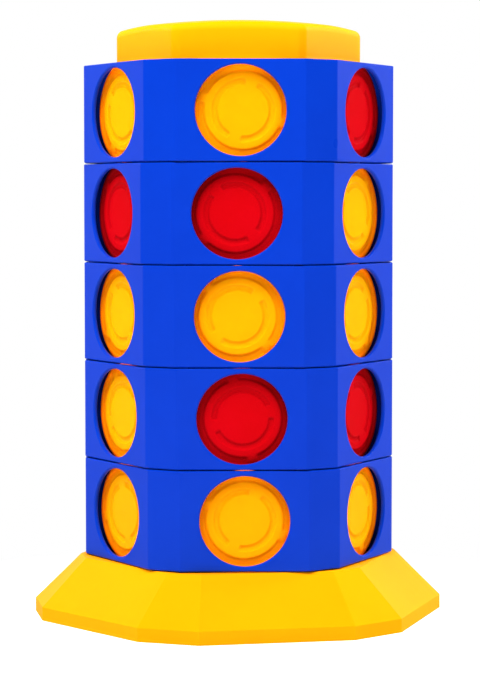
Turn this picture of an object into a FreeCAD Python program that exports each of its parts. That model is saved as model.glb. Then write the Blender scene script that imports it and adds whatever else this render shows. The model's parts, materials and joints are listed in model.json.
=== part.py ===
import FreeCAD, Part
import math
import os
import Sketcher

# A table-top four-in-a-row tower. Five six-sided rings turn on a round core that stands on a flared
# base. Every ring has six pockets with a round window each, and one disc stands in each pocket.
# The top pockets stay open around the cap, so discs drop in from above.
# Origin: bottom centre, +Z up, and the front face looks along -Y.

# Driving dimensions in millimetres and degrees. "apothem" is the distance from the axis to a flat.
DIMENSIONS = {
    "base_height": (19.4, "floor to the deck that the bottom discs rest on"),
    "rim_height": (4.4, "upright rim round the foot of the base"),
    "foot_apothem": (62.8, "main flats of the base at its foot"),
    "foot_corner": (66.7, "corner flats of the base at its foot"),
    "deck_apothem": (47.8, "main flats of the base at the deck"),
    "deck_corner": (51.9, "corner flats of the base at the deck"),
    "base_wall": (2.2, "wall and deck of the base"),
    "base_turn": (11.1, "turn of the base against the front"),
    "plate_thick": (2.4, "plate that closes the underside"),
    "plate_gap": (0.15, "gap round the plate"),
    "spigot_radius": (20.0, "ring on the deck that centres the core"),
    "spigot_height": (4.0, "height of that ring above the deck"),
    "first_ring": (19.7, "underside of the lowest ring"),
    "ring_pitch": (32.1, "one ring to the next"),
    "ring_height": (31.75, "height of one ring"),
    "ring_apothem": (46.7, "main flats of a ring"),
    "ring_corner": (50.6, "corner flats of a ring"),
    "ring_wall": (1.5, "outer wall of a ring"),
    "edge_round": (1.2, "rounding of a ring's upright edges"),
    "top_round": (0.4, "rounding of a ring's top edge"),
    "bottom_bevel": (0.35, "bevel of a ring's bottom edge"),
    "window_radius": (14.25, "round window"),
    "window_round": (0.6, "rounding of a window's outer edge"),
    "slot_half": (16.9, "half the width of a disc pocket"),
    "corner_roof": (1.6, "roof over the hollow behind a corner"),
    "void_inner": (2.0, "half the inner width of that hollow"),
    "void_outer": (5.3, "half the outer width of that hollow"),
    "sleeve_radius": (40.0, "outside of a ring's inner sleeve"),
    "bore_radius": (38.1, "bore of a ring"),
    "core_radius": (38.0, "core that the rings turn on"),
    "core_wall": (1.8, "wall of the core"),
    "core_floor": (2.0, "floors inside the core"),
    "core_top": (178.8, "top edge of the core"),
    "upper_floor": (174.0, "underside of the core's upper floor"),
    "upper_hole": (10.0, "hole in the upper floor"),
    "relief_depth": (0.35, "shallow relief between two bearing bands"),
    "relief_height": (20.0, "height of that relief"),
    "cap_foot": (180.0, "underside of the cap above the rings"),
    "cap_height": (14.5, "height of the cap above that"),
    "cap_apothem": (35.3, "main flats of the cap"),
    "cap_corner": (40.0, "corner flats of the cap"),
    "cap_edge": (3.0, "rounding of the cap's upright edges"),
    "cap_dome": (250.0, "radius of the cap's slightly domed top"),
    "cap_round": (2.5, "rounding of the cap's top edge"),
    "cap_turn": (0.3, "turn of the cap against the front"),
    "cap_hollow": (32.0, "radius of the hollow in the cap"),
    "cap_roof": (4.3, "top of the cap at its middle"),
    "flange_rise": (0.3, "top of the cap's round flange above the cap's underside"),
    "cap_lip": (36.1, "lip that centres the cap in the core"),
    "lip_wall": (2.0, "wall of that lip"),
    "lip_depth": (2.5, "lip below the flange"),
    "disc_radius": (15.9, "playing disc"),
    "disc_thick": (3.2, "thickness of a disc"),
    "disc_seat": (41.9, "axis of the tower to the middle of a disc"),
    "disc_round": (0.6, "rounding of a disc's rim"),
    "inner_groove_in": (8.15, "inner groove, small radius"),
    "inner_groove_out": (10.0, "inner groove, large radius"),
    "outer_groove_in": (12.4, "outer groove, small radius"),
    "outer_groove_out": (14.6, "outer groove, large radius"),
    "groove_depth": (0.8, "depth of both grooves"),
    "inner_sweep": (156.0, "angle of one inner groove"),
    "outer_sweep": (168.0, "angle of one outer groove"),
    "screw_radius": (1.45, "shank of every screw"),
    "head_radius": (2.75, "screw head"),
    "head_height": (1.4, "screw head"),
    "recess_width": (0.8, "arm of the cross recess"),
    "recess_reach": (3.0, "length across the cross recess"),
    "pilot_radius": (1.47, "hole that a screw bites into"),
    "passing_radius": (1.75, "hole that a screw passes through"),
    "boss_radius": (3.8, "screw boss"),
    "plate_circle": (42.0, "circle of the plate screws"),
    "core_circle": (29.0, "circle of the core screws"),
    "cap_circle": (22.0, "circle of the cap screws"),
    "screw_length": (11.0, "shank below the head"),
    "head_sink": (0.1, "plate screw head above the floor"),
    "well_gap": (0.3, "gap round a head in its well"),
    "recess_share": (0.6, "depth of the cross recess as a share of the head"),
    "seat_gap": (0.05, "gap between the plate and the bosses above it"),
    "spigot_gap": (0.1, "gap between the spigot and the core"),
    "sleeve_bite": (0.5, "how far the ribs reach into the sleeve"),
    "turn_1": (2.5, "turn of the lowest ring at rest"),
    "turn_2": (1.4, "turn of ring 2 at rest"),
    "turn_3": (0.5, "turn of ring 3 at rest"),
    "turn_4": (-0.5, "turn of ring 4 at rest"),
    "turn_5": (0.9, "turn of the top ring at rest"),
}

LEVELS = 5
FACES = ["front_left", "front", "front_right", "back_right", "back", "back_left"]
FACE_ANGLE = {name: -150 + 60 * index for index, name in enumerate(FACES)}

# Disc colours round each level, in the order of FACES, lowest level first.
COLOURS = {1: "YYYRRR", 2: "YRRRYY", 3: "YYYRRR", 4: "RRYYYR", 5: "YYRRYR"}
COLOUR_NAME = {"Y": "yellow", "R": "red"}

# How far each front disc is rolled, and how far it sits to one side of its window.
FRONT_ROLL = {1: 67, 2: 14, 3: 45, 4: 130, 5: 72}
FRONT_SHIFT = {1: 0.1, 2: 0.3, 3: -0.7, 4: -0.7, 5: 0.8}
ROLL_STEP = 47

os.makedirs("parts", exist_ok=True)
doc = FreeCAD.newDocument("tower")


class Size:
    """A length with the spreadsheet expression that drives it."""

    def __init__(self, value, text):
        self.value = value
        self.text = text

    def combine(self, other, sign, value):
        other_text = other.text if isinstance(other, Size) else repr(other)
        return Size(value, "(%s %s %s)" % (self.text, sign, other_text))

    def __add__(self, other):
        return self.combine(other, "+", self.value + plain(other))

    def __sub__(self, other):
        return self.combine(other, "-", self.value - plain(other))

    def __mul__(self, other):
        return self.combine(other, "*", self.value * plain(other))

    def __truediv__(self, other):
        return self.combine(other, "/", self.value / plain(other))

    def __neg__(self):
        return Size(-self.value, "(-%s)" % self.text)


def plain(number):
    return number.value if isinstance(number, Size) else number


def make_sheet():
    """Put the driving dimensions in the spreadsheet and return them by name."""
    sheet = doc.addObject("Spreadsheet::Sheet", "dims")
    for row, (alias, (value, note)) in enumerate(DIMENSIONS.items(), start=1):
        sheet.set("A%d" % row, str(value))
        sheet.setAlias("A%d" % row, alias)
        sheet.set("B%d" % row, note)
    doc.recompute()
    return {alias: Size(value, "dims." + alias) for alias, (value, _) in DIMENSIONS.items()}


dim = make_sheet()
ZERO = Size(0.0, "0")


def bind(feature, name, size):
    feature.setExpression(name, size.text)


def new_body(node):
    body = doc.addObject("PartDesign::Body", node)
    body.Label = node
    return body


def origin_feature(body, role):
    return next(item for item in body.Origin.OriginFeatures if item.Role == role)


def new_sketch(body, name, role="XY_Plane", lift=None):
    """A sketch on one of the body's own planes, lifted along its normal where lift is given."""
    sketch = body.newObject("Sketcher::SketchObject", name)
    sketch.AttachmentSupport = [(origin_feature(body, role), "")]
    sketch.MapMode = "FlatFace"
    if lift is not None:
        bind(sketch, "AttachmentOffset.Base.z", lift)
    return sketch


def fix_point(sketch, geometry, x, y):
    """Hold the start point of a line at (x, y), each bound to its expression."""
    for kind, size in (("DistanceX", x), ("DistanceY", y)):
        if size.value < 0:
            constraint = Sketcher.Constraint(kind, geometry, 1, -1, 1, -size.value)
            size = -size
        else:
            constraint = Sketcher.Constraint(kind, -1, 1, geometry, 1, size.value)
        index = sketch.addConstraint(constraint)
        bind(sketch, "Constraints[%d]" % index, size)


def outline(sketch, points):
    """A closed outline of straight lines through points given as pairs of sizes."""
    first = len(sketch.Geometry)
    ends = points[1:] + points[:1]
    for start, end in zip(points, ends):
        sketch.addGeometry(Part.LineSegment(FreeCAD.Vector(start[0].value, start[1].value, 0),
                                            FreeCAD.Vector(end[0].value, end[1].value, 0)))
    for index in range(len(points)):
        following = first + (index + 1) % len(points)
        sketch.addConstraint(Sketcher.Constraint("Coincident", first + index, 2, following, 1))
    for index, (x, y) in enumerate(points):
        fix_point(sketch, first + index, x, y)


def rectangle(sketch, left, right, low, high):
    outline(sketch, [(left, low), (right, low), (right, high), (left, high)])


def circle(sketch, radius, x=ZERO, y=ZERO):
    index = sketch.addGeometry(Part.Circle(FreeCAD.Vector(x.value, y.value, 0),
                                           FreeCAD.Vector(0, 0, 1), radius.value))
    if x is ZERO and y is ZERO:
        sketch.addConstraint(Sketcher.Constraint("Coincident", index, 3, -1, 1))
    else:
        for kind, size in (("DistanceX", x), ("DistanceY", y)):
            place = sketch.addConstraint(Sketcher.Constraint(kind, -1, 1, index, 3, size.value))
            bind(sketch, "Constraints[%d]" % place, size)
    place = sketch.addConstraint(Sketcher.Constraint("Radius", index, radius.value))
    bind(sketch, "Constraints[%d]" % place, radius)


def pad(body, name, sketch, length, midplane=False):
    feature = body.newObject("PartDesign::Pad", name)
    feature.Profile = sketch
    bind(feature, "Length", length)
    feature.Midplane = midplane
    return feature


def pocket(body, name, sketch, length=None, upward=False):
    """Cut along the sketch's normal when upward, else against it; through all with no length."""
    feature = body.newObject("PartDesign::Pocket", name)
    feature.Profile = sketch
    feature.Reversed = upward
    if length is None:
        feature.Type = "ThroughAll"
    else:
        bind(feature, "Length", length)
    return feature


def turned(body, name, kind, sketch, axis="V_Axis", sweep=None):
    """A Revolution or Groove of the sketch about one of its axes."""
    feature = body.newObject("PartDesign::" + kind, name)
    feature.Profile = sketch
    feature.ReferenceAxis = (sketch, [axis])
    if sweep is None:
        feature.Angle = 360
    else:
        feature.Midplane = True
        bind(feature, "Angle", sweep)
    return feature


def loft(body, name, kind, lower, upper):
    feature = body.newObject("PartDesign::" + kind, name)
    feature.Profile = lower
    feature.Sections = [upper]
    feature.Ruled = True
    return feature


def polar(body, name, originals, count):
    pattern = body.newObject("PartDesign::PolarPattern", name)
    pattern.Originals = originals
    pattern.Axis = (origin_feature(body, "Z_Axis"), [""])
    pattern.Angle = 360
    pattern.Occurrences = count
    body.Tip = pattern
    return pattern


def edges_where(feature, test):
    doc.recompute()
    return ["Edge%d" % number for number, edge in enumerate(feature.Shape.Edges, start=1) if test(edge)]


def soften(body, name, kind, feature, test, size):
    """A Fillet or Chamfer on every edge of the feature that passes the test."""
    names = edges_where(feature, test)
    if not names:
        raise RuntimeError("%s of %s found no edges" % (name, body.Label))
    dressed = body.newObject("PartDesign::" + kind, name)
    dressed.Base = (feature, names)
    bind(dressed, "Radius" if kind == "Fillet" else "Size", size)
    body.Tip = dressed
    return dressed


def is_upright(edge):
    box = edge.BoundBox
    return box.ZLength > 1 and box.XLength < 1e-4 and box.YLength < 1e-4


def lies_at(edge, height):
    box = edge.BoundBox
    return abs(box.ZMin - height) < 1e-4 and abs(box.ZMax - height) < 1e-4


def is_circle(edge, radius):
    return isinstance(edge.Curve, Part.Circle) and abs(edge.Curve.Radius - radius) < 1e-4


def truncated_hexagon(sketch, apothem, corner):
    """Six main flats at one apothem and six narrow corner flats at another, a main flat to -Y."""
    root3 = Size(math.sqrt(3), "sqrt(3)")
    half_main = corner * 2 - apothem * root3
    half_corner = apothem * 2 - corner * root3
    side = root3 / 2
    inner_x = corner * 0.5 + side * half_corner
    inner_y = corner * side - half_corner * 0.5
    quarter = [(half_main, apothem), (inner_x, inner_y), (corner, half_corner)]
    right = [(x, -y) for x, y in quarter] + [(x, y) for x, y in reversed(quarter)]
    left = [(-x, y) for x, y in reversed(right)]
    outline(sketch, right + left)


def set_turn(body, angle, height=None):
    """Turn a body about the tower's axis, and lift it where a height is given."""
    body.Placement = FreeCAD.Placement(FreeCAD.Vector(), FreeCAD.Rotation(FreeCAD.Vector(0, 0, 1), 1))
    bind(body, "Placement.Rotation.Angle", angle)
    if height is not None:
        bind(body, "Placement.Base.z", height)


def add_bosses(body, name, circle_radius, low, length, count):
    """Round screw bosses rising from the level low."""
    sketch = new_sketch(body, name + "_sketch", lift=low)
    circle(sketch, dim["boss_radius"], circle_radius)
    return polar(body, name + "_pattern", [pad(body, name, sketch, length)], count)


def add_holes(body, name, circle_radius, radius, low, length, count):
    """Round holes that rise from the level low."""
    sketch = new_sketch(body, name + "_sketch", lift=low)
    circle(sketch, radius, circle_radius)
    return polar(body, name + "_pattern", [pocket(body, name, sketch, length, upward=True)], count)


def is_above_rim(edge):
    return edge.BoundBox.ZMin > dim["rim_height"].value - 1e-4


def make_base():
    """Flared shell with a flat deck, hollow from below."""
    body = new_body("base")
    rim = new_sketch(body, "base_rim_sketch")
    truncated_hexagon(rim, dim["foot_apothem"], dim["foot_corner"])
    pad(body, "base_rim", rim, dim["rim_height"])
    lower = new_sketch(body, "base_flare_foot", lift=dim["rim_height"])
    truncated_hexagon(lower, dim["foot_apothem"], dim["foot_corner"])
    upper = new_sketch(body, "base_flare_top", lift=dim["base_height"])
    truncated_hexagon(upper, dim["deck_apothem"], dim["deck_corner"])
    flare = loft(body, "base_flare", "AdditiveLoft", lower, upper)
    outer = soften(body, "base_edges", "Fillet", flare, is_above_rim, dim["top_round"])
    wall = dim["base_wall"]
    hollow = new_sketch(body, "base_hollow_sketch")
    truncated_hexagon(hollow, dim["foot_apothem"] - wall, dim["foot_corner"] - wall)
    body.Tip = outer
    pocket(body, "base_hollow", hollow, dim["rim_height"], upward=True)
    hollow_low = new_sketch(body, "base_hollow_low", lift=dim["rim_height"])
    truncated_hexagon(hollow_low, dim["foot_apothem"] - wall, dim["foot_corner"] - wall)
    hollow_high = new_sketch(body, "base_hollow_high", lift=dim["base_height"] - wall)
    truncated_hexagon(hollow_high, dim["deck_apothem"] - wall, dim["deck_corner"] - wall)
    loft(body, "base_hollow_flare", "SubtractiveLoft", hollow_low, hollow_high)

    spigot = new_sketch(body, "base_spigot_sketch", lift=dim["base_height"])
    circle(spigot, dim["spigot_radius"])
    circle(spigot, dim["spigot_radius"] - wall)
    pad(body, "base_spigot", spigot, dim["spigot_height"])

    boss_low = dim["plate_thick"] + dim["seat_gap"]
    boss_length = dim["base_height"] - wall / 2 - boss_low
    add_bosses(body, "plate_boss", dim["plate_circle"], boss_low, boss_length, 6)
    add_holes(body, "plate_pilot", dim["plate_circle"], dim["pilot_radius"], boss_low,
              dim["screw_length"], 6)
    add_holes(body, "core_screw_hole", dim["core_circle"], dim["passing_radius"],
              dim["base_height"] - wall * 2, wall * 3, 3)
    set_turn(body, dim["base_turn"])


def make_base_plate():
    """Flat plate that closes the underside and carries the tower."""
    body = new_body("base_plate")
    inset = dim["base_wall"] + dim["plate_gap"]
    sketch = new_sketch(body, "plate_sketch")
    truncated_hexagon(sketch, dim["foot_apothem"] - inset, dim["foot_corner"] - inset)
    pad(body, "plate", sketch, dim["plate_thick"])
    add_holes(body, "plate_hole", dim["plate_circle"], dim["passing_radius"], ZERO, dim["plate_thick"], 6)
    add_holes(body, "plate_well", dim["plate_circle"], dim["head_radius"] + dim["well_gap"], ZERO,
              dim["head_sink"] + dim["head_height"], 6)
    set_turn(body, dim["base_turn"])


def make_core():
    """Hollow drum that the rings turn on, with a floor near each end."""
    body = new_body("core")
    radius = dim["core_radius"]
    inside = radius - dim["core_wall"]
    low = dim["base_height"]
    hole = dim["spigot_radius"] + dim["spigot_gap"]
    section = new_sketch(body, "core_section", "XZ_Plane")
    outline(section, [(hole, low), (radius, low), (radius, dim["core_top"]), (inside, dim["core_top"]),
                      (inside, dim["upper_floor"] + dim["core_floor"]),
                      (dim["upper_hole"], dim["upper_floor"] + dim["core_floor"]),
                      (dim["upper_hole"], dim["upper_floor"]), (inside, dim["upper_floor"]),
                      (inside, low + dim["core_floor"]), (hole, low + dim["core_floor"])])
    turned(body, "core_drum", "Revolution", section)
    relief = new_sketch(body, "core_relief_sketch", "XZ_Plane")
    middle = dim["first_ring"] + dim["ring_height"] / 2
    rectangle(relief, radius - dim["relief_depth"], radius + 1,
              middle - dim["relief_height"] / 2, middle + dim["relief_height"] / 2)
    groove = turned(body, "core_relief", "Groove", relief)
    row = body.newObject("PartDesign::LinearPattern", "core_reliefs")
    row.Originals = [groove]
    row.Direction = (origin_feature(body, "Z_Axis"), [""])
    bind(row, "Length", dim["ring_pitch"] * (LEVELS - 1))
    row.Occurrences = LEVELS
    body.Tip = row
    add_bosses(body, "core_boss", dim["core_circle"], low, dim["screw_length"] + 2, 3)
    add_holes(body, "core_pilot", dim["core_circle"], dim["pilot_radius"], low, dim["screw_length"], 3)
    add_holes(body, "cap_screw_hole", dim["cap_circle"], dim["passing_radius"],
              dim["upper_floor"], dim["core_floor"], 3)
    set_turn(body, dim["base_turn"])


def dome_cut(sketch, radius, high, reach):
    """Region above a shallow dome whose middle is at the level high, out to the radius reach."""
    drop = radius.value - math.sqrt(radius.value ** 2 - reach.value ** 2)
    top = high + 1
    centre = FreeCAD.Vector(0, high.value - radius.value, 0)
    whole = Part.Circle(centre, FreeCAD.Vector(0, 0, 1), radius.value)
    start = math.asin(reach.value / radius.value)
    arc = sketch.addGeometry(Part.ArcOfCircle(whole, math.pi / 2 - start, math.pi / 2))
    points = [(0, high.value), (0, top.value), (reach.value, top.value), (reach.value, high.value - drop)]
    lines = [sketch.addGeometry(Part.LineSegment(FreeCAD.Vector(x1, y1, 0), FreeCAD.Vector(x2, y2, 0)))
             for (x1, y1), (x2, y2) in zip(points, points[1:])]
    sketch.addConstraint(Sketcher.Constraint("Coincident", arc, 2, lines[0], 1))
    sketch.addConstraint(Sketcher.Constraint("Coincident", lines[0], 2, lines[1], 1))
    sketch.addConstraint(Sketcher.Constraint("Coincident", lines[1], 2, lines[2], 1))
    sketch.addConstraint(Sketcher.Constraint("Coincident", lines[2], 2, arc, 1))
    sketch.addConstraint(Sketcher.Constraint("Vertical", lines[2]))
    fix_point(sketch, lines[0], ZERO, high)
    fix_point(sketch, lines[1], ZERO, top)
    place = sketch.addConstraint(Sketcher.Constraint("DistanceX", -1, 1, lines[2], 1, reach.value))
    bind(sketch, "Constraints[%d]" % place, reach)
    sketch.addConstraint(Sketcher.Constraint("Horizontal", lines[1]))
    sketch.addConstraint(Sketcher.Constraint("PointOnObject", arc, 3, -2))
    place = sketch.addConstraint(Sketcher.Constraint("Radius", arc, radius.value))
    bind(sketch, "Constraints[%d]" % place, radius)


def make_cap():
    """Six-sided cap with a domed top on a round flange that closes the core; its corners hold the rings on."""
    body = new_body("cap")
    low = dim["cap_foot"]
    high = low + dim["cap_height"]
    roof = high - dim["cap_roof"]
    block_sketch = new_sketch(body, "cap_block_sketch")
    block_sketch.AttachmentOffset = FreeCAD.Placement(FreeCAD.Vector(),
                                                      FreeCAD.Rotation(FreeCAD.Vector(0, 0, 1), 1))
    bind(block_sketch, "AttachmentOffset.Base.z", low)
    bind(block_sketch, "AttachmentOffset.Rotation.Angle", dim["cap_turn"] - dim["base_turn"])
    truncated_hexagon(block_sketch, dim["cap_apothem"], dim["cap_corner"])
    block = pad(body, "cap_block", block_sketch, dim["cap_height"])
    upright = soften(body, "cap_upright_edges", "Fillet", block, is_upright, dim["cap_edge"])
    body.Tip = upright
    dome_sketch = new_sketch(body, "cap_dome_sketch", "XZ_Plane")
    dome_cut(dome_sketch, dim["cap_dome"], high, dim["cap_corner"] + 3)
    dome = turned(body, "cap_dome", "Groove", dome_sketch)
    soften(body, "cap_rounding", "Fillet", dome,
           lambda edge: edge.BoundBox.ZMin > (low + dim["cap_height"] / 2).value, dim["cap_round"])

    foot = dim["core_top"]
    rim = dim["core_radius"]
    inside = dim["cap_hollow"]
    lip_in = dim["cap_lip"] - dim["lip_wall"]
    level = low + dim["flange_rise"]
    flange_sketch = new_sketch(body, "cap_flange_sketch", "XZ_Plane")
    outline(flange_sketch, [(inside, foot), (lip_in, foot), (lip_in, foot - dim["lip_depth"]),
                            (dim["cap_lip"], foot - dim["lip_depth"]), (dim["cap_lip"], foot),
                            (rim, foot), (rim, level), (inside, level)])
    turned(body, "cap_flange", "Revolution", flange_sketch)
    hollow_sketch = new_sketch(body, "cap_hollow_sketch", lift=low)
    circle(hollow_sketch, inside)
    pocket(body, "cap_hollow", hollow_sketch, roof - low, upward=True)

    boss_low = dim["upper_floor"] + dim["core_floor"]
    add_bosses(body, "cap_boss", dim["cap_circle"], boss_low, high - dim["cap_roof"] / 2 - boss_low, 3)
    add_holes(body, "cap_pilot", dim["cap_circle"], dim["pilot_radius"], boss_low, dim["screw_length"], 3)
    set_turn(body, dim["base_turn"])


def ring_foot(level):
    """Height of a ring's underside above the floor."""
    return dim["first_ring"] + dim["ring_pitch"] * (level - 1)


def make_ring(level):
    """One six-sided ring: outer wall with six windows, six pockets and an inner sleeve."""
    body = new_body("ring_%d" % level)
    height = dim["ring_height"]
    sketch = new_sketch(body, "block_sketch")
    truncated_hexagon(sketch, dim["ring_apothem"], dim["ring_corner"])
    block = pad(body, "block", sketch, height)
    upright = soften(body, "upright_edges", "Fillet", block, is_upright, dim["edge_round"])
    top = soften(body, "top_edge", "Fillet", upright, lambda edge: lies_at(edge, height.value),
                 dim["top_round"])
    soften(body, "bottom_edge", "Chamfer", top, lambda edge: lies_at(edge, 0), dim["bottom_bevel"])

    wall_in = dim["ring_apothem"] - dim["ring_wall"]
    slot_sketch = new_sketch(body, "slot_sketch")
    rectangle(slot_sketch, -dim["slot_half"], dim["slot_half"], -wall_in, -(dim["core_radius"] - 4))
    slot = pocket(body, "slot", slot_sketch, upward=True)

    void_sketch = new_sketch(body, "void_sketch")
    void_sketch.AttachmentOffset = FreeCAD.Placement(FreeCAD.Vector(),
                                                     FreeCAD.Rotation(FreeCAD.Vector(0, 0, 1), 30))
    void_out = dim["ring_corner"] - dim["ring_wall"]
    outline(void_sketch, [(-dim["void_outer"], -void_out), (dim["void_outer"], -void_out),
                          (dim["void_inner"], -dim["sleeve_radius"]),
                          (-dim["void_inner"], -dim["sleeve_radius"])])
    void = pocket(body, "void", void_sketch, height - dim["corner_roof"], upward=True)

    window_sketch = new_sketch(body, "window_sketch", "XZ_Plane", lift=dim["disc_seat"])
    circle(window_sketch, dim["window_radius"], ZERO, height / 2)
    window = pocket(body, "window", window_sketch, upward=True)
    polar(body, "six_faces", [slot, void, window], 6)

    clear_sketch = new_sketch(body, "clear_sketch")
    circle(clear_sketch, dim["sleeve_radius"] - dim["sleeve_bite"])
    pocket(body, "clear", clear_sketch, upward=True)
    sleeve_sketch = new_sketch(body, "sleeve_sketch")
    circle(sleeve_sketch, dim["sleeve_radius"])
    circle(sleeve_sketch, dim["bore_radius"])
    sleeve = pad(body, "sleeve", sleeve_sketch, height)
    body.Tip = sleeve
    soften(body, "window_edges", "Fillet", sleeve,
           lambda edge: is_circle(edge, dim["window_radius"].value)
           and edge.CenterOfMass.Length > dim["ring_apothem"].value - 0.5,
           dim["window_round"])
    set_turn(body, dim["turn_%d" % level], ring_foot(level))


def make_disc(level, face, number):
    """One playing disc: two broken grooves in both faces, standing in its pocket."""
    colour = COLOUR_NAME[COLOURS[level][FACES.index(face)]]
    body = new_body("%s_disc_%d_%s" % (colour, level, face))
    blank_sketch = new_sketch(body, "blank_sketch")
    circle(blank_sketch, dim["disc_radius"])
    blank = pad(body, "blank", blank_sketch, dim["disc_thick"], midplane=True)
    soften(body, "rim_rounding", "Fillet", blank, lambda edge: isinstance(edge.Curve, Part.Circle),
           dim["disc_round"])
    grooves = []
    for ring, plane in (("inner", "XZ_Plane"), ("outer", "YZ_Plane")):
        section = new_sketch(body, ring + "_section", plane)
        face_high = dim["disc_thick"] / 2
        floor = face_high - dim["groove_depth"]
        near = dim[ring + "_groove_in"]
        far = dim[ring + "_groove_out"]
        rectangle(section, near, far, floor, face_high + 1)
        rectangle(section, near, far, -(face_high + 1), -floor)
        grooves.append(turned(body, ring + "_groove", "Groove", section, sweep=dim[ring + "_sweep"]))
    polar(body, "groove_pairs", grooves, 2)

    front = face == "front"
    roll = (FRONT_ROLL[level] if front else number * ROLL_STEP) - 90
    shift = FRONT_SHIFT[level] if front else 0.0
    bearing = math.radians(FACE_ANGLE[face] + dim["turn_%d" % level].value)
    outward = FreeCAD.Vector(math.cos(bearing), math.sin(bearing), 0)
    sideways = FreeCAD.Vector(-math.sin(bearing), math.cos(bearing), 0)
    upward = FreeCAD.Vector(0, 0, 1)
    facing = FreeCAD.Rotation(sideways, upward, outward, "ZXY")
    rolled = FreeCAD.Rotation(FreeCAD.Vector(0, 0, 1), roll)
    body.Placement = FreeCAD.Placement(FreeCAD.Vector(), facing.multiply(rolled))
    angle = "(%d + dims.turn_%d)" % (FACE_ANGLE[face], level)
    body.setExpression("Placement.Base.x", "dims.disc_seat * cos%s - %r * sin%s" % (angle, shift, angle))
    body.setExpression("Placement.Base.y", "dims.disc_seat * sin%s + %r * cos%s" % (angle, shift, angle))
    bind(body, "Placement.Base.z", ring_foot(level) + dim["ring_height"] / 2)


def make_screws(node, circle_radius, head_low, count):
    """A set of pan-head screws that point up, their heads resting at the level head_low."""
    body = new_body(node)
    body.AllowCompound = True
    section = new_sketch(body, "screw_section", "XZ_Plane")
    axis = section.addGeometry(Part.LineSegment(FreeCAD.Vector(circle_radius.value, 0, 0),
                                                FreeCAD.Vector(circle_radius.value, 10, 0)), True)
    fix_point(section, axis, circle_radius, ZERO)
    section.addConstraint(Sketcher.Constraint("Vertical", axis))
    head_high = head_low + dim["head_height"]
    tip = head_high + dim["screw_length"]
    outline(section, [(circle_radius, head_low), (circle_radius + dim["head_radius"], head_low),
                      (circle_radius + dim["head_radius"], head_high),
                      (circle_radius + dim["screw_radius"], head_high),
                      (circle_radius + dim["screw_radius"], tip - dim["screw_radius"]),
                      (circle_radius, tip)])
    shaft = turned(body, "screw", "Revolution", section, axis="Axis0")
    recess_sketch = new_sketch(body, "recess_sketch", lift=head_low)
    arm = dim["recess_width"] / 2
    reach = dim["recess_reach"] / 2
    quarter = [(arm, -reach), (arm, -arm), (reach, -arm)]
    right = quarter + [(x, -y) for x, y in reversed(quarter)]
    cross = right + [(-x, y) for x, y in reversed(right)]
    outline(recess_sketch, [(circle_radius + x, y) for x, y in cross])
    recess = pocket(body, "recess", recess_sketch, dim["head_height"] * dim["recess_share"], upward=True)
    polar(body, "screw_pattern", [shaft, recess], count)
    set_turn(body, dim["base_turn"])


def export_all():
    """Check every object, then write one STEP file per node."""
    doc.recompute()
    for item in doc.Objects:
        if "Invalid" in item.State or "Error" in item.State:
            raise RuntimeError("%s (%s) is %s" % (item.Name, item.Label, item.State))
    for body in [item for item in doc.Objects if item.TypeId == "PartDesign::Body"]:
        if body.Shape.isNull() or not body.Shape.isValid():
            raise RuntimeError(body.Label + " has no valid shape")
        print("%-30s solids %d volume %9.1f" % (body.Label, len(body.Shape.Solids), body.Shape.Volume))
        body.Shape.exportStep("parts/%s.step" % body.Label)


make_base()
make_base_plate()
make_screws("plate_screws", dim["plate_circle"], dim["head_sink"], 6)
make_core()
make_screws("core_screws", dim["core_circle"], dim["base_height"] - dim["base_wall"] - dim["head_height"], 3)
make_cap()
make_screws("cap_screws", dim["cap_circle"], dim["upper_floor"] - dim["head_height"], 3)
for level in range(1, LEVELS + 1):
    make_ring(level)
    for index, face in enumerate(FACES):
        make_disc(level, face, level * len(FACES) + index)
export_all()
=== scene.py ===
"""Twisting four-in-a-row tower: materials, discs, stage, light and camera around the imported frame."""
import json
import math

import bmesh
import bpy
import numpy
from mathutils import Matrix, Vector

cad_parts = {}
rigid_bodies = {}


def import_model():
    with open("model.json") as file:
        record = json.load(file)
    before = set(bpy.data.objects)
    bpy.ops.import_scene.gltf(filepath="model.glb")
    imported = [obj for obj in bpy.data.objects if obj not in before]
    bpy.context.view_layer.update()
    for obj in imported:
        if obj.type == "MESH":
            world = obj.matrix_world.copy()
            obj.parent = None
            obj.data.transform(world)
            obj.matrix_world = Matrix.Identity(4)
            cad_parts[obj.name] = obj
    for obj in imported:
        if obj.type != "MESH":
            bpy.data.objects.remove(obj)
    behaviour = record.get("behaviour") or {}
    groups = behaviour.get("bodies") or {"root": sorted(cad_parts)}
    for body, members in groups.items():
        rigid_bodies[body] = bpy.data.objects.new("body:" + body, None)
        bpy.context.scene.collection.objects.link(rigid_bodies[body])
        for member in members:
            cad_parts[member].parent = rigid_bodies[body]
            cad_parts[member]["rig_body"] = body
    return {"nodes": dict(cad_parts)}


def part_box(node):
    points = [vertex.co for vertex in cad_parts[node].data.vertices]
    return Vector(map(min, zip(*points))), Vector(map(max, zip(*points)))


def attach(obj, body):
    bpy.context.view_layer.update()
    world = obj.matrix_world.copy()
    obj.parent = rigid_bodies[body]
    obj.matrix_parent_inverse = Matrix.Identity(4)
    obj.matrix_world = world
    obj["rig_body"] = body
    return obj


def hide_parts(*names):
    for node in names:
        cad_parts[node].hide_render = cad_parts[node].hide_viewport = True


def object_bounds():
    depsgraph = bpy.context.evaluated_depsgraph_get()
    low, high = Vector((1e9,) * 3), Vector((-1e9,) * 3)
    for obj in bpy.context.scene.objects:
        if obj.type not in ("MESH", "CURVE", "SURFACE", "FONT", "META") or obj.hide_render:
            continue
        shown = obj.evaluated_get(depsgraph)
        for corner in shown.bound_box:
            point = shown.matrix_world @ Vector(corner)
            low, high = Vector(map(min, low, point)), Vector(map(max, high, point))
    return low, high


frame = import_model()
cad_low, cad_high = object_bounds()
MM = 0.001
WHITE = (1, 1, 1, 1)

# ---------------------------------------------------------------- camera

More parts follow.
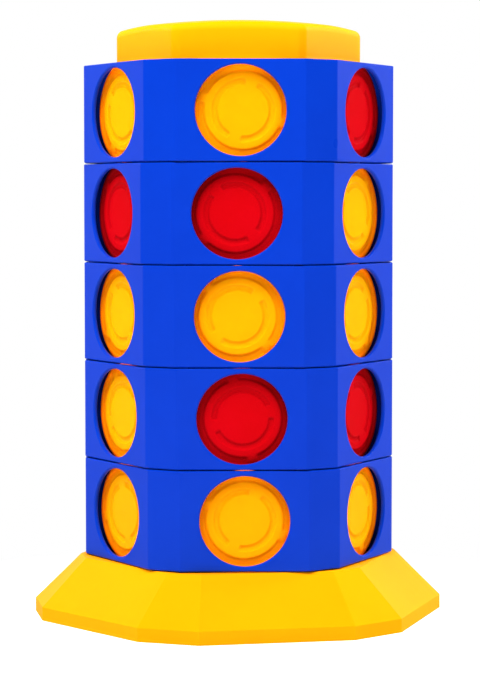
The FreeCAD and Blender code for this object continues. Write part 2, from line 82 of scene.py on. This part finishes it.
CAMERA_BACK = 0.7797     # metres from the tower's axis
CAMERA_SIDE = 0.0005
CAMERA_HEIGHT = 0.1361
CAMERA_PITCH = 3.34      # degrees below level
CAMERA_LENS = 125.7      # millimetres, on a sensor of the width below
SENSOR_WIDTH = 36.0
CLIP_NEAR = 0.01
CLIP_FAR = 20.0


def make_camera():
    """A long lens straight in front of the tower, a little above its middle, tipped slightly down."""
    data = bpy.data.cameras.new("camera")
    data.lens = CAMERA_LENS
    data.sensor_width = SENSOR_WIDTH
    data.sensor_fit = "AUTO"
    data.clip_start = CLIP_NEAR
    data.clip_end = CLIP_FAR
    camera = bpy.data.objects.new("camera", data)
    camera.location = (CAMERA_SIDE, -CAMERA_BACK, CAMERA_HEIGHT)
    camera.rotation_euler = (math.radians(90 - CAMERA_PITCH), 0, 0)
    bpy.context.scene.collection.objects.link(camera)
    bpy.context.scene.camera = camera


# ---------------------------------------------------------------- node helpers

class Nodes:
    """Short calls for building one node tree."""

    def __init__(self, tree):
        self.tree = tree
        tree.nodes.clear()

    def add(self, kind, settings=None, **inputs):
        """A node of that kind; an input given as a socket is linked, any other value is set on it."""
        node = self.tree.nodes.new(kind)
        for name, value in (settings or {}).items():
            setattr(node, name, value)
        for name, value in inputs.items():
            socket = self.socket(node, name)
            if isinstance(value, bpy.types.NodeSocket):
                self.tree.links.new(value, socket)
            else:
                socket.default_value = value
        return node

    @staticmethod
    def socket(node, name):
        """Input by number, as in0, or by its name with spaces written as underscores."""
        if name.startswith("in") and name[2:].isdigit():
            return node.inputs[int(name[2:])]
        return node.inputs[name.replace("_", " ")]

    def math(self, operation, first, second=0.0):
        return self.add("ShaderNodeMath", {"operation": operation}, in0=first, in1=second).outputs[0]

    def spread(self, value, low, high, to_low=0.0, to_high=1.0):
        """Smooth step from to_low at low to to_high at high."""
        node = self.add("ShaderNodeMapRange", {"interpolation_type": "SMOOTHSTEP"},
                        in0=value, in1=low, in2=high, in3=to_low, in4=to_high)
        return node.outputs[0]

    def noise(self, where, scale, detail=3.0, roughness=0.5):
        node = self.add("ShaderNodeTexNoise", Vector=where, Scale=scale, Detail=detail,
                        Roughness=roughness)
        return node.outputs[0]

    def mix(self, share, first, second):
        """Colour between first and second."""
        node = self.add("ShaderNodeMix", {"data_type": "RGBA"}, in0=share, in6=first, in7=second)
        return node.outputs[2]

    def emission(self, strength):
        return self.add("ShaderNodeEmission", Color=WHITE, Strength=strength).outputs[0]

    def blend(self, share, first, second):
        """Surface between first and second."""
        return self.add("ShaderNodeMixShader", in0=share, in1=first, in2=second).outputs[0]

    def bump(self, height, strength, distance, **under):
        node = self.add("ShaderNodeBump", Height=height, Strength=strength, Distance=distance, **under)
        return node.outputs[0]


def new_material(name):
    """An empty node material, its nodes, and the piece's own coordinates in metres."""
    material = bpy.data.materials.new(name)
    material.use_nodes = True
    nodes = Nodes(material.node_tree)
    return material, nodes, nodes.add("ShaderNodeTexCoord").outputs["Object"]


def edge_share(nodes, reach):
    """From 0 on a flat to 1 on an edge: how far the rounded normal leans from the true one."""
    rounded = nodes.add("ShaderNodeBevel", {"samples": 4}, Radius=reach).outputs[0]
    true_normal = nodes.add("ShaderNodeNewGeometry").outputs["True Normal"]
    dot = nodes.add("ShaderNodeVectorMath", {"operation": "DOT_PRODUCT"}, in0=rounded, in1=true_normal)
    lean = nodes.math("SUBTRACT", 1.0, dot.outputs["Value"])
    return nodes.spread(lean, 0.01, 0.22)


# ---------------------------------------------------------------- materials

DRIFT_SCALE = 38.0       # noise scales: features per metre
MOTTLE_SCALE = 310.0
PATCH_SCALE = 75.0
RUB_SCALE = 190.0
SCUFF_SCALE = 620.0
FLOW_SCALE = 55.0
GRAIN_SCALE = 2600.0
STREAKED = (1.0, 1.0, 0.16)      # draws noise out along the piece's own Z

EDGE_REACH = 0.35 * MM
EDGE_WEAR = 0.35
PATCH_GLOSS = 0.10       # how much patches, scuffs and wear roughen the surface
SCUFF_GLOSS = 0.10
WEAR_GLOSS = 0.35
GRAIN_HEIGHT = 0.05 * MM
FLOW_HEIGHT = 0.6 * MM

PLASTIC_IOR = 1.5
SCATTER_DEPTH = 2.0 * MM
SCATTER_BY_COLOUR = (1.0, 0.2, 0.1)


def paint_recess_shade(nodes, base, shade_colour, reach, closed=0.5, alone=False):
    """Painted shade: deeper colour where walls within reach close the view; alone counts only the piece's
    own walls.
    """
    open_share = nodes.add("ShaderNodeAmbientOcclusion", {"samples": 6, "only_local": alone},
                           Distance=reach).outputs["AO"]
    return nodes.mix(nodes.spread(open_share, closed, 1.0), shade_colour, base)


def moulded_plastic(name, colour, deep, worn, roughness, specular, scatter=0.0, recess_shade=None):
    """Injection-moulded plastic: slight colour drift, fine grain, faint flow, scuffs, paler edges and, if
    given, painted shade in hollows.
    """
    material, nodes, place = new_material(name)

    drift = nodes.math("MULTIPLY", nodes.noise(place, DRIFT_SCALE, 2.0), 0.7)
    mottle = nodes.math("MULTIPLY", nodes.noise(place, MOTTLE_SCALE, 3.0), 0.3)
    base = nodes.mix(nodes.spread(nodes.math("ADD", drift, mottle), 0.35, 0.65), deep, colour)
    rub = nodes.spread(nodes.noise(place, RUB_SCALE, 4.0, 0.6), 0.4, 0.65)
    wear = nodes.math("MULTIPLY", edge_share(nodes, EDGE_REACH), nodes.math("MULTIPLY", rub, EDGE_WEAR))
    base = nodes.mix(wear, base, worn)
    # painted shade: colour darkened in recesses and seams, where the real shade falls
    if recess_shade is not None:
        base = paint_recess_shade(nodes, base, **recess_shade)

    streaks = nodes.add("ShaderNodeMapping", Vector=place, Scale=STREAKED).outputs[0]
    scuffs = nodes.spread(nodes.noise(streaks, SCUFF_SCALE, 4.0, 0.7), 0.58, 0.75)
    patches = nodes.math("MULTIPLY", nodes.noise(place, PATCH_SCALE, 2.0), PATCH_GLOSS)
    gloss = nodes.math("ADD", roughness - PATCH_GLOSS / 2, patches)
    gloss = nodes.math("ADD", gloss, nodes.math("MULTIPLY", scuffs, SCUFF_GLOSS))
    gloss = nodes.math("ADD", gloss, nodes.math("MULTIPLY", wear, WEAR_GLOSS))

    fine = nodes.bump(nodes.noise(place, GRAIN_SCALE, 2.0), 0.05, GRAIN_HEIGHT)
    bump = nodes.bump(nodes.noise(streaks, FLOW_SCALE, 1.0), 0.12, FLOW_HEIGHT, Normal=fine)

    shader = nodes.add("ShaderNodeBsdfPrincipled", Base_Color=base, Roughness=gloss, Normal=bump,
                       IOR=PLASTIC_IOR)
    shader.inputs["Specular IOR Level"].default_value = specular
    shader.inputs["Subsurface Weight"].default_value = scatter
    shader.inputs["Subsurface Radius"].default_value = SCATTER_BY_COLOUR
    shader.inputs["Subsurface Scale"].default_value = SCATTER_DEPTH
    nodes.add("ShaderNodeOutputMaterial", Surface=shader.outputs[0])
    return material


TURNED_LINES = (1.0, 1.0, 9.0)   # squeezes noise along the piece's own Z
LINE_SCALE = 900.0
SPOT_SCALE = 700.0


def zinc_steel(name):
    """Plated screw steel with fine turned lines and a few duller spots."""
    material, nodes, place = new_material(name)
    squeezed = nodes.add("ShaderNodeMapping", Vector=place, Scale=TURNED_LINES).outputs[0]
    spots = nodes.spread(nodes.noise(place, SPOT_SCALE, 3.0), 0.5, 0.7)
    base = nodes.mix(spots, (0.60, 0.61, 0.62, 1), (0.42, 0.42, 0.41, 1))
    gloss = nodes.math("ADD", 0.24, nodes.math("MULTIPLY", spots, 0.2))
    bump = nodes.bump(nodes.noise(squeezed, LINE_SCALE), 0.25, GRAIN_HEIGHT)
    shader = nodes.add("ShaderNodeBsdfPrincipled", Base_Color=base, Metallic=1.0, Roughness=gloss,
                       Normal=bump)
    nodes.add("ShaderNodeOutputMaterial", Surface=shader.outputs[0])
    return material


# The rings get painted shade: window walls and seams darkened towards a near-black blue.
RING_BLUE = moulded_plastic("ring_blue", (0.001, 0.030, 0.395, 1), (0.001, 0.028, 0.375, 1),
                            (0.01, 0.07, 0.55, 1), roughness=0.30, specular=0.09,
                            recess_shade={"shade_colour": (0.0005, 0.004, 0.05, 1), "reach": 8 * MM, "closed": 0.4,
                                     "alone": True})
BASE_YELLOW = moulded_plastic("base_yellow", (0.93, 0.295, 0.001, 1), (0.91, 0.285, 0.001, 1),
                              (0.95, 0.38, 0.03, 1), roughness=0.36, specular=0.01)
CAP_YELLOW = moulded_plastic("cap_yellow", (0.93, 0.345, 0.001, 1), (0.91, 0.335, 0.001, 1),
                             (0.95, 0.40, 0.03, 1), roughness=0.34, specular=0.03)
# The discs get painted shade: yellow turns orange and red turns dark red near the window walls.
DISC_YELLOW = moulded_plastic("disc_yellow", (0.93, 0.325, 0.001, 1), (0.91, 0.315, 0.001, 1),
                              (0.95, 0.38, 0.03, 1), roughness=0.30, specular=0.008, scatter=0.3,
                              recess_shade={"shade_colour": (0.90, 0.13, 0.001, 1), "reach": 3.6 * MM})
DISC_RED = moulded_plastic("disc_red", (0.45, 0.001, 0.004, 1), (0.43, 0.001, 0.003, 1),
                           (0.50, 0.01, 0.02, 1), roughness=0.30, specular=0.005,
                           recess_shade={"shade_colour": (0.13, 0.001, 0.002, 1), "reach": 3.6 * MM})
CORE_GREY = moulded_plastic("core_grey", (0.012, 0.012, 0.014, 1), (0.009, 0.009, 0.011, 1),
                            (0.05, 0.05, 0.055, 1), roughness=0.45, specular=0.3)
STEEL = zinc_steel("zinc_steel")


def finish_for(node):
    """The material of a CAD node, by its name."""
    if node.endswith("screws"):
        return STEEL
    if node.startswith("ring"):
        return RING_BLUE
    return {"base": BASE_YELLOW, "base_plate": BASE_YELLOW, "cap": CAP_YELLOW, "core": CORE_GREY}[node]


# ---------------------------------------------------------------- discs

DISC_RADIUS = 15.9 * MM
DISC_THICK = 3.2 * MM
RIM_ROUND = 0.6 * MM
INNER_GROOVE = {"near": 7.7 * MM, "far": 10.2 * MM, "deep": 0.45 * MM, "half_sweep": 78, "turned": 0}
OUTER_GROOVE = {"near": 11.8 * MM, "far": 14.9 * MM, "deep": 0.45 * MM, "half_sweep": 84, "turned": 90}
WALL_SLOPE = 1.0 * MM    # width of a groove's sloping wall
HOLD = 0.12 * MM         # flat strip that keeps the face flat beside a groove
SEGMENTS = 120
WALL_STEPS = 4
ROUND_STEPS = 4

FRONT_ROLL = {1: 67, 2: 14, 3: 45, 4: 130, 5: 72}    # degrees, as the front disc of each level lies
ROLL_STEP = 47
FACES = ["front_left", "front", "front_right", "back_right", "back", "back_left"]


def smooth(share):
    """Smooth step from 0 to 1."""
    share = min(1.0, max(0.0, share))
    return share * share * (3 - 2 * share)


def groove_depth(radius, angle, groove):
    """How deep a broken groove is at a point of the face: soft walls along it, a soft end at each bridge."""
    from_wall = min(radius - groove["near"], groove["far"] - radius)
    from_middle = abs((angle - groove["turned"] + 90) % 180 - 90)
    end = (groove["half_sweep"] - from_middle) * SEGMENTS / 360
    return groove["deep"] * smooth(from_wall / WALL_SLOPE) * smooth(end)


def face_height(radius, angle):
    """Height of a disc's face above its middle plane."""
    groove = max(groove_depth(radius, angle, INNER_GROOVE), groove_depth(radius, angle, OUTER_GROOVE))
    inset = max(0.0, radius - (DISC_RADIUS - RIM_ROUND))
    rounding = RIM_ROUND - math.sqrt(max(0.0, RIM_ROUND ** 2 - inset ** 2))
    return DISC_THICK / 2 - groove - rounding


def disc_radii():
    """Radii of the rings of points on a face, close together on the groove walls and the rounded rim."""
    radii = [0.5 * INNER_GROOVE["near"]]
    for groove in (INNER_GROOVE, OUTER_GROOVE):
        radii.append(groove["near"] - HOLD)
        for step in range(WALL_STEPS + 1):
            radii.append(groove["near"] + WALL_SLOPE * step / WALL_STEPS)
        for step in range(WALL_STEPS + 1):
            radii.append(groove["far"] - WALL_SLOPE * (1 - step / WALL_STEPS))
        radii.append(groove["far"] + HOLD)
    for step in range(ROUND_STEPS + 1):
        turn = math.radians(90 * step / ROUND_STEPS)
        radii.append(DISC_RADIUS - RIM_ROUND * (1 - math.sin(turn)))
    return radii


def bridge(built, first, second):
    """A closed band of faces between two equal rings of points."""
    count = len(first)
    for number in range(count):
        after = (number + 1) % count
        built.faces.new((first[number], second[number], second[after], first[after]))


def point_ring(built, radius, side):
    """Points round one face of a disc at that radius."""
    ring = []
    for number in range(SEGMENTS):
        angle = 360 * number / SEGMENTS
        turn = math.radians(angle)
        high = side * face_height(radius, angle)
        ring.append(built.verts.new((radius * math.cos(turn), radius * math.sin(turn), high)))
    return ring


def make_disc_mesh(name, material):
    """Disc in its own frame: its faces across Z, one up and one down, and a plain edge between them."""
    built = bmesh.new()
    rims = []
    for side in (1, -1):
        centre = built.verts.new((0, 0, side * face_height(0, 0)))
        rings = [point_ring(built, radius, side) for radius in disc_radii()]
        for number in range(SEGMENTS):
            built.faces.new((centre, rings[0][number], rings[0][(number + 1) % SEGMENTS]))
        for inner, outer in zip(rings, rings[1:]):
            bridge(built, inner, outer)
        rims.append(rings[-1])
    bridge(built, rims[0], rims[1])
    bmesh.ops.recalc_face_normals(built, faces=built.faces)
    mesh = bpy.data.meshes.new(name)
    built.to_mesh(mesh)
    built.free()
    mesh.materials.append(material)
    mesh.shade_smooth()
    return mesh


def disc_axes(node):
    """Middle of a CAD disc and the direction that it faces: the one that it is thinnest in, outward."""
    low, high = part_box(node)
    points = numpy.array([vertex.co for vertex in frame["nodes"][node].data.vertices])
    _, directions = numpy.linalg.eigh(numpy.cov(points.T))
    middle = (low + high) / 2
    outward = Vector(directions[:, 0])
    if outward.dot(middle) - outward.z * middle.z < 0:
        outward.negate()
    return middle, outward


def make_discs():
    """Thirty discs with soft-edged broken grooves, each in the place of its CAD node."""
    meshes = {"yellow": make_disc_mesh("yellow_disc_mesh", DISC_YELLOW),
              "red": make_disc_mesh("red_disc_mesh", DISC_RED)}
    up = Vector((0, 0, 1))
    for node, source in frame["nodes"].items():
        if "_disc_" not in node:
            continue
        colour, _, level, face = node.split("_", 3)
        middle, outward = disc_axes(node)
        sideways = up.cross(outward).normalized()
        number = int(level) * len(FACES) + FACES.index(face)
        roll = (FRONT_ROLL[int(level)] if face == "front" else number * ROLL_STEP) - 90
        facing = Matrix((sideways, outward.cross(sideways), outward)).transposed().to_4x4()
        piece = bpy.data.objects.new("playing_" + node, meshes[colour])
        rolled = Matrix.Rotation(math.radians(roll), 4, "Z")
        piece.matrix_world = Matrix.Translation(middle) @ facing @ rolled
        bpy.context.scene.collection.objects.link(piece)
        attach(piece, source["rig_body"])
        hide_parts(node)


# ---------------------------------------------------------------- stage and light

FLOOR_HALF = 3.0
FLOOR_BOUNCE = 0.34      # light that the floor gives the tower, besides what it reflects
FOOT_LIFT = 0.3          # light added to the shadow that the camera sees round the foot
SHADOW_RADIUS = 0.07     # full shadow inside the first radius, plain white beyond the second
WHITE_RADIUS = 0.14
FLOOR_MIRRORED_FRONT = 0.02
FLOOR_MIRRORED_BACK = 0.5


def grey(level):
    return level, level, level, 1


def matt(nodes, grain, dark, light):
    """A matt surface with a slight drift between two greys."""
    return nodes.add("ShaderNodeBsdfDiffuse", Color=nodes.mix(grain, grey(dark), grey(light))).outputs[0]


def floor_white():
    """White to the camera but for a soft shadow at the foot; a glow to the tower; dim in mirror images."""
    material, nodes, place = new_material("floor_white")
    grain = nodes.noise(place, 30.0)
    to_tower = nodes.add("ShaderNodeAddShader", in0=matt(nodes, grain, 0.69, 0.71),
                         in1=nodes.emission(FLOOR_BOUNCE)).outputs[0]
    at_foot = nodes.add("ShaderNodeAddShader", in0=matt(nodes, grain, 0.93, 0.95),
                        in1=nodes.emission(FOOT_LIFT)).outputs[0]
    distance = nodes.add("ShaderNodeVectorMath", {"operation": "LENGTH"}, in0=place).outputs["Value"]
    to_camera = nodes.blend(nodes.spread(distance, SHADOW_RADIUS, WHITE_RADIUS), at_foot,
                            nodes.emission(1.0))
    depth = nodes.add("ShaderNodeSeparateXYZ", in0=place).outputs[1]
    mirrored = nodes.emission(nodes.spread(depth, -0.2, 0.1, FLOOR_MIRRORED_FRONT, FLOOR_MIRRORED_BACK))
    path = nodes.add("ShaderNodeLightPath").outputs
    unseen = nodes.blend(path["Is Glossy Ray"], to_tower, mirrored)
    surface = nodes.blend(path["Is Camera Ray"], unseen, to_camera)
    nodes.add("ShaderNodeOutputMaterial", Surface=surface)
    return material


def make_floor():
    """A plain square floor at the tower's foot."""
    built = bmesh.new()
    corners = [(-FLOOR_HALF, -FLOOR_HALF), (FLOOR_HALF, -FLOOR_HALF), (FLOOR_HALF, FLOOR_HALF),
               (-FLOOR_HALF, FLOOR_HALF)]
    built.faces.new([built.verts.new((x, y, cad_low.z)) for x, y in corners])
    mesh = bpy.data.meshes.new("floor")
    built.to_mesh(mesh)
    built.free()
    mesh.materials.append(floor_white())
    floor = bpy.data.objects.new("floor", mesh)
    bpy.context.scene.collection.objects.link(floor)


MIRRORED_FRONT = 0.01    # brightness of the mirrored room in front, behind and overhead
MIRRORED_BACK = 0.65
MIRRORED_OVERHEAD = 0.12


def make_world():
    """White to the camera, black to diffuse light, and a dim room in mirror images: brighter at the back."""
    world = bpy.data.worlds.new("studio")
    bpy.context.scene.world = world
    world.use_nodes = True
    nodes = Nodes(world.node_tree)
    towards = nodes.add("ShaderNodeTexCoord").outputs["Generated"]
    parts = nodes.add("ShaderNodeSeparateXYZ", in0=towards).outputs
    path = nodes.add("ShaderNodeLightPath").outputs
    mirrored = nodes.math("MULTIPLY", nodes.spread(parts[1], -0.4, 0.4, MIRRORED_FRONT, MIRRORED_BACK),
                          nodes.spread(parts[2], 0.15, 0.6, 1.0, MIRRORED_OVERHEAD))
    glow = nodes.math("MULTIPLY", path["Is Glossy Ray"], mirrored)
    studio = nodes.add("ShaderNodeBackground", Color=WHITE, Strength=glow).outputs[0]
    white = nodes.add("ShaderNodeBackground", Color=WHITE, Strength=1.0).outputs[0]
    nodes.add("ShaderNodeOutputWorld", Surface=nodes.blend(path["Is Camera Ray"], studio, white))


LAMP_DISTANCE = 1.0
LAMP_SIZE = 0.5
LAMPS = {  # azimuth and elevation in degrees, power in watts
    "left_front": (-34, 52, 10.0),
    "right_front": (32, 50, 3.5),
    "front": (0, 60, 8.0),
    "left_side": (-112, 26, 8.5),
    "right_side": (116, 22, 14.5),
    "left_back": (-150, 12, 4.4),
    "right_back": (150, 12, 4.0),
}


def make_softbox(name, azimuth, elevation, watts):
    """A square softbox aimed at the middle of the tower; azimuth 0 is in front, positive to the right."""
    data = bpy.data.lights.new(name, "AREA")
    data.shape = "SQUARE"
    data.size = LAMP_SIZE
    data.energy = watts
    lamp = bpy.data.objects.new(name, data)
    lamp.visible_glossy = False
    turn, rise = math.radians(azimuth), math.radians(elevation)
    aim = Vector((0, 0, (cad_low.z + cad_high.z) / 2))
    away = Vector((math.sin(turn) * math.cos(rise), -math.cos(turn) * math.cos(rise), math.sin(rise)))
    lamp.location = aim + away * LAMP_DISTANCE
    lamp.rotation_euler = (-away).to_track_quat("-Z", "Y").to_euler()
    bpy.context.scene.collection.objects.link(lamp)


# ---------------------------------------------------------------- assembly

make_camera()
for node_name, node_object in frame["nodes"].items():
    if "_disc_" not in node_name:
        node_object.material_slots[0].material = finish_for(node_name)
make_discs()
make_floor()
make_world()
for lamp_name, (azimuth, elevation, watts) in LAMPS.items():
    make_softbox(lamp_name, azimuth, elevation, watts)
bpy.context.scene.view_settings.view_transform = "Standard"
